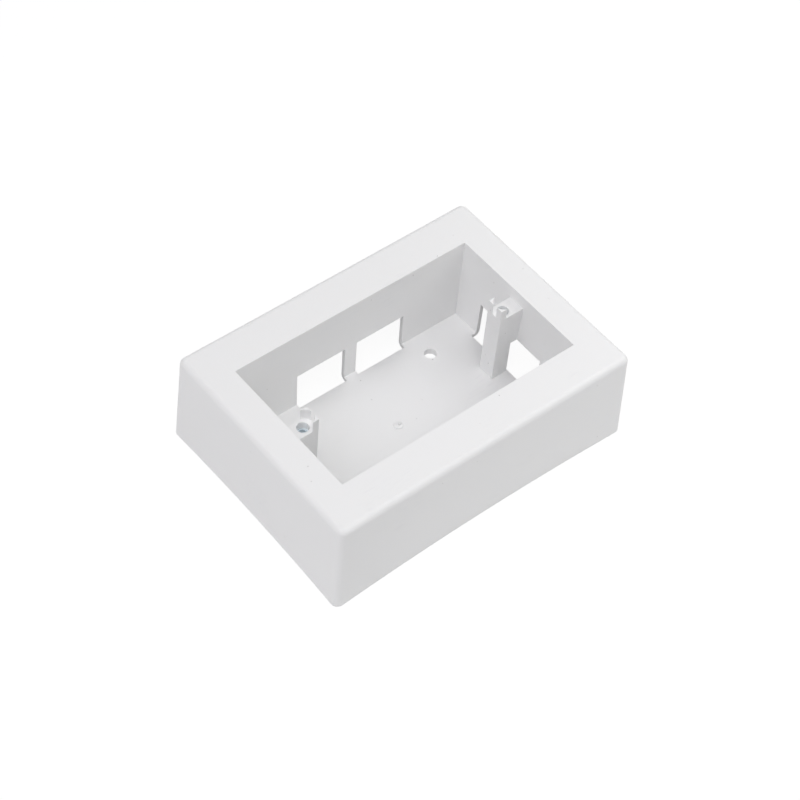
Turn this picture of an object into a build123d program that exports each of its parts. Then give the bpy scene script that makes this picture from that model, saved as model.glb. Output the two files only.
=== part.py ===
# Surface-mount wall box for one wiring device, moulded in white plastic, with a threaded metal
# bush pressed into each of its two device posts.
# Millimetres. X runs along the box, Y across it, Z out of the wall. The origin is the middle of
# the rim that lies against the wall.
import os
from math import atan, degrees
from build123d import *

# Outer cover: four leaning walls under a flat face
box_height = 37.7
face_length = 119.3          # at the face, before its edge is rounded
face_width = 85.4
wall_lean = 1.33             # how far each wall stands out at the rim, past the face
long_wall_bow = 1.3          # how far each long wall sinks in at the middle of its rim
short_wall_bow = 0.8
least_bow = 0.001            # keeps every side an arc, also where it looks straight
cover_corner_radius = 2.5
cover_inner_radius = 0.5     # inside the same corners
face_edge_radius = 2.2
cover_wall = 2.0
face_thickness = 2.2

# Tray that holds the device, open through the face
opening_width = 55.3
tray_lean = 0.77             # how far each tray wall leans in, from the face to the floor
tray_wall = 1.5
tray_corner_radius = 2.5     # outside, between two walls
floor_thickness = 1.5
floor_lift = 1.2             # from the rim up to the underside of the tray floor
floor_edge_radius = 2.2      # outside, between wall and floor

# Cable windows, which run through the wall and on into the floor
window_height = 14.5         # above the tray floor
long_window_width = 20.1
long_window_spacing = 25.0
long_window_bite = 1.6       # how far the window cuts into the floor
short_window_width = 30.7
short_window_shift = 0.35    # off the middle, the opposite way in each short wall
short_window_bite = 2.1

# Device posts
screw_spacing = 83.3         # the two screws of a standard wiring device
post_width = 6.45
post_front_gap = 3.8         # from the screw's axis to the face of the post
post_back_gap = 2.75         # from the screw's axis to the back of the post
post_wall_gap = 3.35         # from the back of the post to the end of the opening
post_drop = 4.95             # from the face down to the seat of the device
horn_drop = 0.2              # from the face down to the tip of the horns
horn_leg = 2.45              # along the front and the side of the post
horn_hollow = 0.3            # how far the inner side of a horn is hollowed
post_hole_diameter = 4.2
post_hole_depth = 14.0

# Threaded bushes, pressed into the post holes
bush_bore_diameter = 2.9
bush_length = 8.0
bush_sink = 3.0              # from the seat down to the top of the bush
bush_chamfer = 0.3

# Wall screws, through two opposite corners of the floor, each in a boss that stands on the wall
wall_hole_diameter = 4.3
wall_hole_x = 28.15
wall_hole_y = 17.85
wall_boss_diameter = 9.0

# Mark left by the moulding gate: a low pad with the stub of the sprue on it
gate_pad_diameter = 3.2
gate_pad_height = 0.35
gate_pad_shift = 0.45        # the pad lies a little off the stub
gate_stub_diameter = 1.1
gate_stub_height = 1.4

# Ribs that stiffen the face, between the tray and the cover's walls
rib_thickness = 1.2
rib_depth = 3.6
long_side_ribs = 4
long_side_rib_spacing = 24.0
short_side_ribs = 2
short_side_rib_spacing = 32.0

cut_margin = 1.0             # how far a cutter runs on past what it cuts

floor_top = floor_lift + floor_thickness
tray_depth = box_height - floor_top
face_underside = box_height - face_thickness
window_top = floor_top + window_height
seat_height = box_height - post_drop
screw_x = screw_spacing / 2
opening_length = screw_spacing + 2 * (post_back_gap + post_wall_gap)
floor_length = opening_length - 2 * tray_lean
floor_width = opening_width - 2 * tray_lean


def bowed_outline(length, width, radius, long_bow, short_bow):
    """Rectangle with round corners whose sides sink in towards their middles."""
    x, y = length / 2, width / 2
    inner_x, inner_y = x - radius, y - radius
    with BuildSketch() as outline:
        with BuildLine():
            for turn_x, turn_y in ((1, 1), (-1, 1), (-1, -1), (1, -1)):
                corner = Vector(turn_x * inner_x, turn_y * inner_y)
                side = Vector(turn_x * radius, 0)
                end = Vector(0, turn_y * radius)
                slant = (side + end).normalized() * radius
                ThreePointArc(corner + side, corner + slant, corner + end)
            for sign in (1, -1):
                ThreePointArc((-inner_x, sign * y), (0, sign * (y - long_bow)), (inner_x, sign * y))
                ThreePointArc((sign * x, -inner_y), (sign * (x - short_bow), 0), (sign * x, inner_y))
        make_face()
    return outline.sketch


def cover_section(height, inset, radius):
    """Outline of the cover at a height: it grows and bows steadily from the face to the rim."""
    share = 1 - height / box_height
    grow = 2 * (wall_lean * share - inset)
    outline = bowed_outline(
        face_length + grow,
        face_width + grow,
        radius,
        max(long_wall_bow * share, least_bow),
        max(short_wall_bow * share, least_bow),
    )
    return Pos(0, 0, height) * outline


def tray_section(height, outset, radius=0):
    """Outline of the tray at a height, leaning in towards the floor."""
    lean = tray_lean * (box_height - height) / tray_depth
    length = opening_length + 2 * (outset - lean)
    width = opening_width + 2 * (outset - lean)
    outline = RectangleRounded(length, width, radius) if radius else Rectangle(length, width)
    return Pos(0, 0, height) * outline


def cover():
    """Face and four leaning walls, hollow below."""
    outside = loft([
        cover_section(0, 0, cover_corner_radius),
        cover_section(box_height, 0, cover_corner_radius),
    ], ruled=True)
    face_edges = outside.edges().group_by(Axis.Z)[-1]
    outside = fillet(face_edges, face_edge_radius)
    inside = loft([
        cover_section(0, cover_wall, cover_inner_radius),
        cover_section(face_underside, cover_wall, cover_inner_radius),
    ], ruled=True)
    return outside - inside


def ribs():
    """Webs across the gap between the tray and the cover's walls, under the face."""
    rib_z = face_underside - rib_depth / 2
    length, width = face_length - cover_wall, face_width - cover_wall
    webs = Part()
    for place in GridLocations(long_side_rib_spacing, 0, long_side_ribs, 1):
        webs += place * Pos(0, 0, rib_z) * Box(rib_thickness, width, rib_depth)
    for place in GridLocations(0, short_side_rib_spacing, 1, short_side_ribs):
        webs += place * Pos(0, 0, rib_z) * Box(length, rib_thickness, rib_depth)
    return webs


def tray():
    """Outside of the tray as a solid block, with its floor edge rounded."""
    block = extrude(
        tray_section(floor_lift, tray_wall, tray_corner_radius),
        box_height - face_thickness / 2 - floor_lift,
        dir=(0, 0, 1),
        taper=-degrees(atan(tray_lean / tray_depth)),
    )
    return fillet(block.edges().group_by(Axis.Z)[0], floor_edge_radius)


def pocket():
    """The space inside the tray, out through the face."""
    return loft([tray_section(floor_top, 0), tray_section(box_height, 0)], ruled=True)


def windows():
    """Cutters for the cable windows: two in each long wall, one in each short wall."""
    reach = tray_wall + max(long_window_bite, short_window_bite) + tray_lean + cut_margin
    middle = window_top / 2
    cutters = Part()
    for side in (1, -1):
        long_y = side * (floor_width / 2 - long_window_bite + reach / 2)
        for place in GridLocations(long_window_spacing, 0, 2, 1):
            cutters += place * Pos(0, long_y, middle) * Box(long_window_width, reach, window_top)
        short_x = side * (floor_length / 2 - short_window_bite + reach / 2)
        short_y = side * short_window_shift
        cutters += Pos(short_x, short_y, middle) * Box(reach, short_window_width, window_top)
    return cutters


def horns():
    """Two upright horns on the front corners of the right post, hollowed towards the screw."""
    front = screw_x - post_front_gap
    edge = post_width / 2
    corner = Vector(front, -edge)
    front_tip = Vector(front, horn_leg - edge)
    side_tip = Vector(front + horn_leg, -edge)
    middle = (front_tip + side_tip) / 2
    hollow = middle + (corner - middle).normalized() * horn_hollow
    with BuildSketch(Plane.XY.offset(seat_height)) as outline:
        with BuildLine():
            Polyline(front_tip, corner, side_tip)
            ThreePointArc(side_tip, hollow, front_tip)
        make_face()
    near = extrude(outline.sketch, post_drop - horn_drop)
    return near + mirror(near, about=Plane.XZ)


def post():
    """Right device post: a free-standing pillar, tied to the wall above the window."""
    front = screw_x - post_front_gap
    back = screw_x + post_back_gap
    wall = (opening_length + tray_wall) / 2
    foot = floor_lift + floor_thickness / 2

    def block(x_from, x_to, z_from, z_to):
        middle = Pos((x_from + x_to) / 2, 0, (z_from + z_to) / 2)
        return middle * Box(x_to - x_from, post_width, z_to - z_from)

    pillar = block(front, back, foot, seat_height)
    tie = block(back, wall, window_top, seat_height)
    return pillar + tie + horns()


def post_hole(side):
    """Blind hole for the bush, down from the seat of the post."""
    return Pos(side * screw_x, 0, seat_height) * Cylinder(
        post_hole_diameter / 2, post_hole_depth, align=(Align.CENTER, Align.CENTER, Align.MAX)
    )


def wall_pillars(diameter):
    """Upright cylinders at the two wall screws, from the wall up to the tray floor."""
    pillars = Part()
    for side in (1, -1):
        pillars += Pos(side * wall_hole_x, side * wall_hole_y, floor_top / 2) * Cylinder(
            diameter / 2, floor_top
        )
    return pillars


def gate_mark():
    """What the moulding gate leaves on the tray floor."""
    upright = (Align.CENTER, Align.CENTER, Align.MIN)
    foot = floor_top - floor_thickness / 2
    pad = Pos(-gate_pad_shift, 0, foot) * Cylinder(
        gate_pad_diameter / 2, floor_top + gate_pad_height - foot, align=upright
    )
    stub = Pos(0, 0, foot) * Cylinder(
        gate_stub_diameter / 2, floor_top + gate_stub_height - foot, align=upright
    )
    return pad + stub


def moulded_box():
    """The whole moulding: cover, ribs and tray in one piece."""
    body = cover() + ribs() + tray() + wall_pillars(wall_boss_diameter)
    body -= pocket()
    body -= windows()
    body += post() + mirror(post(), about=Plane.YZ)
    for side in (1, -1):
        body -= post_hole(side)
    body -= wall_pillars(wall_hole_diameter)
    return body + gate_mark()


def bush(side):
    """Threaded bush, its ends chamfered, seated in the post hole."""
    top = seat_height - bush_sink
    barrel = Cylinder(post_hole_diameter / 2, bush_length, align=(Align.CENTER, Align.CENTER, Align.MAX))
    barrel = chamfer(barrel.edges().group_by(Axis.Z)[-1], bush_chamfer)
    barrel -= Cylinder(bush_bore_diameter / 2, bush_length, align=(Align.CENTER, Align.CENTER, Align.MAX))
    return Pos(side * screw_x, 0, top) * barrel


os.makedirs("parts", exist_ok=True)
export_step(moulded_box(), "parts/moulded_box.step")
export_step(bush(-1), "parts/threaded_bush_left.step")
export_step(bush(1), "parts/threaded_bush_right.step")
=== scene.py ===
# Looks of a surface-mount wall box: white moulded plastic with a zinc-plated bush in each post.
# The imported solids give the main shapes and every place, in metres, with the wall side on z = 0.
import bpy, bmesh, math
from mathutils import Matrix, Vector


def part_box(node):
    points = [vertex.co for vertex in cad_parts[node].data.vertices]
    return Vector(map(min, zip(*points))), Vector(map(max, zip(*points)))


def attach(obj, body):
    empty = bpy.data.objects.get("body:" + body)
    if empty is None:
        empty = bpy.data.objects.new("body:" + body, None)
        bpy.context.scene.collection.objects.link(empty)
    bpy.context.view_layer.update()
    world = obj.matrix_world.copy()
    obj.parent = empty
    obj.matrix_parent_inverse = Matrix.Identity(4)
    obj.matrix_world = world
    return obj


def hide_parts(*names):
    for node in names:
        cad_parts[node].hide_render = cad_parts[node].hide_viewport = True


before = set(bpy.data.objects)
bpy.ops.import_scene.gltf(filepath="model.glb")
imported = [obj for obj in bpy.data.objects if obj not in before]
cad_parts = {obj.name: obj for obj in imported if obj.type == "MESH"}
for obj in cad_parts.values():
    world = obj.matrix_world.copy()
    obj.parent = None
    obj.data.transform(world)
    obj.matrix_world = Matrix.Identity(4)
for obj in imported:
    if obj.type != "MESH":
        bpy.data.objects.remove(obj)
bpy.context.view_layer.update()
mm = 0.001
print("frame loaded:", ", ".join(sorted(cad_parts)))


# small helpers

def srgb(hexCode):  # sRGB hex to the linear colour that a shader takes
    values = [int(hexCode[i:i + 2], 16) / 255 for i in (1, 3, 5)]
    return [v / 12.92 if v <= 0.04045 else ((v + 0.055) / 1.055) ** 2.4 for v in values] + [1.0]


def addNode(tree, kind, inputs=None, links=None, **settings):  # one node, its settings and its links
    node = tree.nodes.new(kind)
    for name, value in settings.items():
        setattr(node, name, value)
    for socket, value in (inputs or {}).items():
        node.inputs[socket].default_value = value
    for socket, source in (links or {}).items():
        tree.links.new(source, node.inputs[socket])
    return node


def newMaterial(name):
    material = bpy.data.materials.new(name)
    material.use_nodes = True
    material.node_tree.nodes.clear()
    return material, material.node_tree


def newObject(name, data):
    thing = bpy.data.objects.new(name, data)
    bpy.context.scene.collection.objects.link(thing)
    return thing


weldLook = {
    "reach": 0.002 * mm,         # corners nearer than this become one
    "flatAngle": 0.02,           # degrees under which two facets count as one flat
}


def welded(node, look):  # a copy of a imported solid's mesh, its loose triangles joined into whole flats
    work = bmesh.new()
    work.from_mesh(node.data)
    bmesh.ops.remove_doubles(work, verts=work.verts, dist=look["reach"])
    bmesh.ops.dissolve_limit(work, angle_limit=math.radians(look["flatAngle"]),
                             verts=work.verts, edges=work.edges)
    mesh = bpy.data.meshes.new(node.name + "Welded")
    work.to_mesh(mesh)
    work.free()
    return mesh


def settle(piece, node):  # bakes a piece's modifiers into its mesh and lets it stand for a solid
    graph = bpy.context.evaluated_depsgraph_get()
    mesh = bpy.data.meshes.new_from_object(piece.evaluated_get(graph), depsgraph=graph)
    mesh.name = piece.name
    piece.modifiers.clear()
    piece.data = mesh
    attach(piece, "root")
    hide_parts(node.name)
    print(piece.name, "made:", len(mesh.polygons), "faces")


# white plastic: injection moulded ABS, spark-eroded fine satin skin
# the eye gets a soft broad sheen, an even cool white, a few faint scuffs and rare dark specks

plasticLook = {
    "white": "#F6F6F6",
    "cloud": "#F4F4F4",          # slow change of tone over the moulding
    "cloudSize": 45 * mm,
    "scuff": "#F0F0F1",          # faint handling marks, only here and there
    "scuffLength": 5.0 * mm,
    "scuffWidth": 0.6 * mm,
    "scuffSlant": 35.0,          # degrees
    "strokeFrom": 0.54,          # noise value where a stroke starts to show
    "strokeFull": 0.7,           # and where it is at its strongest
    "patchSize": 22 * mm,        # the strokes lie together in patches
    "patchDetail": 1.0,
    "patchFrom": 0.6,            # the same two values for a patch
    "patchFull": 0.74,
    "speck": "#8A8683",          # dust burnt into the resin
    "speckSpacing": 6.0 * mm,
    "speckRadius": 0.21 * mm,
    "speckCore": 0.6,            # share of the radius inside which the speck is at its darkest
    "speckStrength": 0.7,
    "roughness": 0.42,
    "roughnessSpread": 0.05,
    "ior": 1.53,
    "grainSize": 0.32 * mm,      # coarser than the real spark texture, whose 0.1 mm is too fine to show
    "grainDepth": 0.010 * mm,
    "glow": 0.12,                # share of the light that creeps through the white resin
    "glowDepth": 1.2 * mm,
    "glowTint": (1.0, 0.95, 0.9),    # red creeps furthest and blue least
}


def whitePlastic(look):
    material, tree = newMaterial("mouldedAbsWhiteSatin")
    place = addNode(tree, "ShaderNodeTexCoord").outputs["Object"]
    cloud = addNode(tree, "ShaderNodeTexNoise", {"Scale": 1 / look["cloudSize"]}, {"Vector": place})
    tone = addNode(tree, "ShaderNodeMix", {"A": srgb(look["white"]), "B": srgb(look["cloud"])},
                   {"Factor": cloud.outputs["Fac"]}, data_type="RGBA")
    patch = addNode(tree, "ShaderNodeTexNoise",
                    {"Scale": 1 / look["patchSize"], "Detail": look["patchDetail"]}, {"Vector": place})
    patchMask = addNode(tree, "ShaderNodeMapRange",
                        {"From Min": look["patchFrom"], "From Max": look["patchFull"]},
                        {"Value": patch.outputs["Fac"]})
    strokes = addNode(tree, "ShaderNodeMapping",
                      {"Rotation": [math.radians(look["scuffSlant"])] * 3,
                       "Scale": (1 / look["scuffLength"], 1 / look["scuffWidth"], 1 / look["scuffWidth"])},
                      {"Vector": place})
    streak = addNode(tree, "ShaderNodeTexNoise", {"Scale": 1.0}, {"Vector": strokes.outputs[0]})
    streakMask = addNode(tree, "ShaderNodeMapRange",
                         {"From Min": look["strokeFrom"], "From Max": look["strokeFull"]},
                         {"Value": streak.outputs["Fac"]})
    scuff = addNode(tree, "ShaderNodeMath", links={0: patchMask.outputs[0], 1: streakMask.outputs[0]},
                    operation="MULTIPLY")
    marked = addNode(tree, "ShaderNodeMix", {"B": srgb(look["scuff"])},
                     {"Factor": scuff.outputs[0], "A": tone.outputs["Result"]}, data_type="RGBA")
    specks = addNode(tree, "ShaderNodeTexVoronoi", {"Scale": 1 / look["speckSpacing"]},
                     {"Vector": place})
    reach = look["speckRadius"] / look["speckSpacing"]
    speckMask = addNode(tree, "ShaderNodeMapRange",
                        {"From Min": reach, "From Max": reach * look["speckCore"],
                         "To Max": look["speckStrength"]},
                        {"Value": specks.outputs["Distance"]})
    colour = addNode(tree, "ShaderNodeMix", {"B": srgb(look["speck"])},
                     {"Factor": speckMask.outputs[0], "A": marked.outputs["Result"]}, data_type="RGBA")
    sheen = addNode(tree, "ShaderNodeMapRange",
                    {"To Min": look["roughness"] - look["roughnessSpread"],
                     "To Max": look["roughness"] + look["roughnessSpread"]},
                    {"Value": streak.outputs["Fac"]})
    grain = addNode(tree, "ShaderNodeTexNoise", {"Scale": 1 / look["grainSize"]}, {"Vector": place})
    bump = addNode(tree, "ShaderNodeBump", {"Distance": look["grainDepth"]},
                   {"Height": grain.outputs["Fac"]})
    skin = addNode(tree, "ShaderNodeBsdfPrincipled",
                   {"IOR": look["ior"], "Subsurface Weight": look["glow"],
                    "Subsurface Scale": look["glowDepth"], "Subsurface Radius": look["glowTint"]},
                   {"Base Color": colour.outputs["Result"], "Roughness": sheen.outputs[0],
                    "Normal": bump.outputs["Normal"]})
    addNode(tree, "ShaderNodeOutputMaterial", links={"Surface": skin.outputs[0]})
    return material


# moulded box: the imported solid, with the small radius that a mould leaves on every sharp edge

boxLook = {
    "edgeRadius": 0.1 * mm,
    "edgeSteps": 2,
    "sharpAngle": 32.0,          # degrees past which an edge gets the radius
    "flatWeight": 100,           # how far the large flats lead the shading of the small faces
    "manySides": 5,              # a face with this many sides or more is cut into triangles
}


def roundedBox(node, look, material):
    mesh = welded(node, weldLook)
    mesh.materials.append(material)
    mesh.shade_smooth()
    box = newObject("mouldedBox", mesh)
    rounding = box.modifiers.new("edgeRadius", "BEVEL")
    rounding.width, rounding.segments = look["edgeRadius"], look["edgeSteps"]
    rounding.limit_method, rounding.angle_limit = "ANGLE", math.radians(look["sharpAngle"])
    rounding.use_clamp_overlap = False
    rounding.face_strength_mode = "FSTR_ALL"
    shading = box.modifiers.new("flatsLead", "WEIGHTED_NORMAL")  # flats stay flat up to their edges
    shading.weight, shading.use_face_influence = look["flatWeight"], True
    facets = box.modifiers.new("evenFacets", "TRIANGULATE")
    facets.min_vertices, facets.ngon_method = look["manySides"], "BEAUTY"
    facets.keep_custom_normals = True
    settle(box, node)


plastic = whitePlastic(plasticLook)
roundedBox(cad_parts["moulded_box"], boxLook, plastic)


# threaded bush: turned steel with bright blue zinc plating
# the eye gets a cold pale ring with a satin gleam and fine lathe marks, and a threaded bore under it

bushLook = {
    "zinc": "#F2F8FB",
    "shade": "#DDE9F0",          # a little darker, along the lathe marks
    "roughness": 0.55,
    "latheSpacing": 0.18 * mm,   # coarser than real turning marks, which are too fine to show
    "latheDepth": 0.004 * mm,
    "boreRadius": 1.45 * mm,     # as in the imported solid
    "threadPitch": 0.79 * mm,    # 32 threads to the inch
    "threadHeight": 0.36 * mm,   # from the middle of the ridge to its sharp edges
    "threadRoot": 0.07 * mm,     # how deep the middle of the ridge lies in the wall
    "threadClear": 0.45 * mm,    # from each end of the sleeve to the middle of the thread's end
    "ridgeSides": 4,             # a square section, so the ridge has sharp edges
    "facets": 48,                # in each turn of the thread
    "sharpAngle": 30.0,          # degrees past which an edge shades as a sharp one
}


def zincSteel(look):
    material, tree = newMaterial("bluePassivatedZincSteel")
    place = addNode(tree, "ShaderNodeTexCoord").outputs["Object"]
    marks = addNode(tree, "ShaderNodeTexNoise", {"Scale": 1 / look["latheSpacing"]}, {"Vector": place})
    colour = addNode(tree, "ShaderNodeMix", {"A": srgb(look["zinc"]), "B": srgb(look["shade"])},
                     {"Factor": marks.outputs["Fac"]}, data_type="RGBA")
    bump = addNode(tree, "ShaderNodeBump", {"Distance": look["latheDepth"]},
                   {"Height": marks.outputs["Fac"]})
    skin = addNode(tree, "ShaderNodeBsdfPrincipled", {"Metallic": 1.0, "Roughness": look["roughness"]},
                   {"Base Color": colour.outputs["Result"], "Normal": bump.outputs["Normal"]})
    addNode(tree, "ShaderNodeOutputMaterial", links={"Surface": skin.outputs[0]})
    return material


def threadTree(look, material):  # winds a thread up the bore of the sleeve that comes in, and fuses the two
    tree = bpy.data.node_groups.new("threadInBore", "GeometryNodeTree")
    tree.interface.new_socket("Geometry", in_out="INPUT", socket_type="NodeSocketGeometry")
    for name in ("Thread Radius", "Thread Pitch", "Thread Height", "Length"):
        tree.interface.new_socket(name, in_out="INPUT", socket_type="NodeSocketFloat")
    tree.interface.new_socket("Facets", in_out="INPUT", socket_type="NodeSocketInt")
    tree.interface.new_socket("Foot", in_out="INPUT", socket_type="NodeSocketVector")
    tree.interface.new_socket("Geometry", in_out="OUTPUT", socket_type="NodeSocketGeometry")
    given = addNode(tree, "NodeGroupInput").outputs
    turns = addNode(tree, "ShaderNodeMath", operation="DIVIDE",
                    links={0: given["Length"], 1: given["Thread Pitch"]})
    helix = addNode(tree, "GeometryNodeCurveSpiral",
                    links={"Resolution": given["Facets"], "Rotations": turns.outputs[0],
                           "Start Radius": given["Thread Radius"], "End Radius": given["Thread Radius"],
                           "Height": given["Length"]})
    ridge = addNode(tree, "GeometryNodeCurvePrimitiveCircle", {"Resolution": look["ridgeSides"]},
                    {"Radius": given["Thread Height"]}, mode="RADIUS")
    thread = addNode(tree, "GeometryNodeCurveToMesh", {"Fill Caps": True},
                     {"Curve": helix.outputs["Curve"], "Profile Curve": ridge.outputs["Curve"]})
    placed = addNode(tree, "GeometryNodeTransform",
                     links={"Geometry": thread.outputs["Mesh"], "Translation": given["Foot"]})
    whole = addNode(tree, "GeometryNodeMeshBoolean", operation="UNION", solver="EXACT")
    for geometry in (given["Geometry"], placed.outputs["Geometry"]):
        tree.links.new(geometry, whole.inputs["Mesh 2"])
    plain = addNode(tree, "GeometryNodeRealizeInstances", links={"Geometry": whole.outputs["Mesh"]})
    dressed = addNode(tree, "GeometryNodeSetMaterial", {"Material": material},
                      {"Geometry": plain.outputs[0]})
    addNode(tree, "NodeGroupOutput", links={0: dressed.outputs[0]})
    return tree


def threadedBush(name, node, look, tree):
    low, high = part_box(node.name)
    clear = look["threadClear"]
    sizes = {"Thread Radius": look["boreRadius"] + look["threadRoot"],
             "Thread Pitch": look["threadPitch"], "Thread Height": look["threadHeight"],
             "Length": high.z - low.z - 2 * clear, "Facets": look["facets"],
             "Foot": ((low.x + high.x) / 2, (low.y + high.y) / 2, low.z + clear)}
    bush = newObject(name, welded(node, weldLook))
    thread = bush.modifiers.new("thread", "NODES")
    thread.node_group = tree
    for socket in tree.interface.items_tree:
        if socket.name in sizes:
            thread[socket.identifier] = sizes[socket.name]
    settle(bush, node)
    bush.data.shade_smooth()
    bush.data.set_sharp_from_angle(angle=math.radians(look["sharpAngle"]))


threadInBore = threadTree(bushLook, zincSteel(bushLook))
threadedBush("threadedBushLeft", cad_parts["threaded_bush_left"], bushLook, threadInBore)
threadedBush("threadedBushRight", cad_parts["threaded_bush_right"], bushLook, threadInBore)


# floor, light and camera
# the floor is matt white studio paper: the eye gets a clean pale ground with a faint shadow at the rim

stageLook = {
    "floorReach": 4.0,           # metres from the middle to each edge
    "floorDrop": 0.05 * mm,      # clear of the rim, so the two never flicker
    "floorBounce": "#EEEEEE",    # what the object sees
    "floorGlow": 0.94,           # what the camera sees with no light at all
    "floorLit": 0.09,            # what the lamps add to it, so the shadow stays
    "sky": "#FFFFFF",            # what the camera sees past the floor
    "worldLight": 0.352,         # the share of it that lights the object
}

lampLook = {                     # place and size in metres, power in watts, colour
    "frontLeft": ((-0.48, -0.05, 0.575), 0.5, 1.42, "#FBF9FF"),
    "frontHigh": ((-0.177, -0.186, 0.705), 0.5, 1.1, "#FFFFFF"),
    "right": ((0.28, -0.03, 0.30), 0.3, 0.32, "#FFFFFF"),
    "frontRight": ((0.24, -0.20, 0.30), 0.3, 0.2, "#FFFFFF"),
}


def seenDirectly(tree):  # 1 for what the camera, a mirror or clear glass shows
    path = addNode(tree, "ShaderNodeLightPath")
    either = addNode(tree, "ShaderNodeMath", operation="MAXIMUM",
                     links={0: path.outputs["Is Camera Ray"], 1: path.outputs["Is Glossy Ray"]})
    return addNode(tree, "ShaderNodeMath", operation="MAXIMUM",
                   links={0: either.outputs[0], 1: path.outputs["Is Transmission Ray"]}).outputs[0]


def paleFloor(look):
    mesh = bpy.data.meshes.new("paleFloor")
    reach, height = look["floorReach"], -look["floorDrop"]
    corners = [(x * reach, y * reach, height) for x, y in ((-1, -1), (1, -1), (1, 1), (-1, 1))]
    mesh.from_pydata(corners, [], [(0, 1, 2, 3)])
    material, tree = newMaterial("matteStudioPaper")
    bounce = addNode(tree, "ShaderNodeBsdfDiffuse", {"Color": srgb(look["floorBounce"])})
    glow = addNode(tree, "ShaderNodeEmission", {"Strength": look["floorGlow"]})
    lit = addNode(tree, "ShaderNodeBsdfDiffuse", {"Color": [look["floorLit"]] * 3 + [1.0]})
    both = addNode(tree, "ShaderNodeAddShader", links={0: glow.outputs[0], 1: lit.outputs[0]})
    shown = addNode(tree, "ShaderNodeMixShader",
                    links={0: seenDirectly(tree), 1: bounce.outputs[0], 2: both.outputs[0]})
    addNode(tree, "ShaderNodeOutputMaterial", links={"Surface": shown.outputs[0]})
    mesh.materials.append(material)
    floor = newObject("paleFloor", mesh)


def paleWorld(look):
    world = bpy.data.worlds.new("paleWorld")
    world.use_nodes = True
    tree = world.node_tree
    tree.nodes.clear()
    strength = addNode(tree, "ShaderNodeMapRange", {"To Min": look["worldLight"], "To Max": 1.0},
                       {"Value": seenDirectly(tree)})
    light = addNode(tree, "ShaderNodeBackground", {"Color": srgb(look["sky"])},
                    {"Strength": strength.outputs[0]})
    addNode(tree, "ShaderNodeOutputWorld", links={"Surface": light.outputs[0]})
    bpy.context.scene.world = world


def softLamp(name, place, size, power, colour):  # aimed at the middle of the wall side
    light = bpy.data.lights.new(name, "AREA")
    light.shape, light.size = "SQUARE", size
    light.energy = power
    light.color = srgb(colour)[:3]
    lamp = newObject(name, light)
    lamp.location = place
    lamp.rotation_mode = "QUATERNION"
    lamp.rotation_quaternion = (-Vector(place)).to_track_quat("-Z", "Y")


cameraLook = {
    "target": (-7.8 * mm, -7.3 * mm, 29.1 * mm),   # the point in the middle of the photograph
    "distance": 708.35 * mm,
    "azimuth": -43.56,           # degrees, and so are the next two
    "elevation": 51.19,
    "roll": 5.95,
    "lens": 99.13,               # focal length and sensor width, which the camera takes in millimetres
    "sensor": 36.0,
    "nearest": 10 * mm,
    "farthest": 50.0,
}


def photoCamera(look):
    turn, rise = math.radians(look["azimuth"]), math.radians(look["elevation"])
    back = Vector((math.sin(turn) * math.cos(rise), -math.cos(turn) * math.cos(rise), math.sin(rise)))
    lens = bpy.data.cameras.new("photoCamera")
    lens.lens, lens.sensor_width = look["lens"], look["sensor"]
    lens.clip_start, lens.clip_end = look["nearest"], look["farthest"]
    camera = newObject("photoCamera", lens)
    camera.location = Vector(look["target"]) + back * look["distance"]
    camera.rotation_mode = "QUATERNION"
    facing = (-back).to_track_quat("-Z", "Y")
    roll = Matrix.Rotation(math.radians(look["roll"]), 4, "Z").to_quaternion()
    camera.rotation_quaternion = facing @ roll
    bpy.context.scene.camera = camera


paleFloor(stageLook)
paleWorld(stageLook)
for name, lamp in lampLook.items():
    softLamp(name, *lamp)
photoCamera(cameraLook)
bpy.context.scene.view_settings.view_transform = "Standard"
print("stage set")
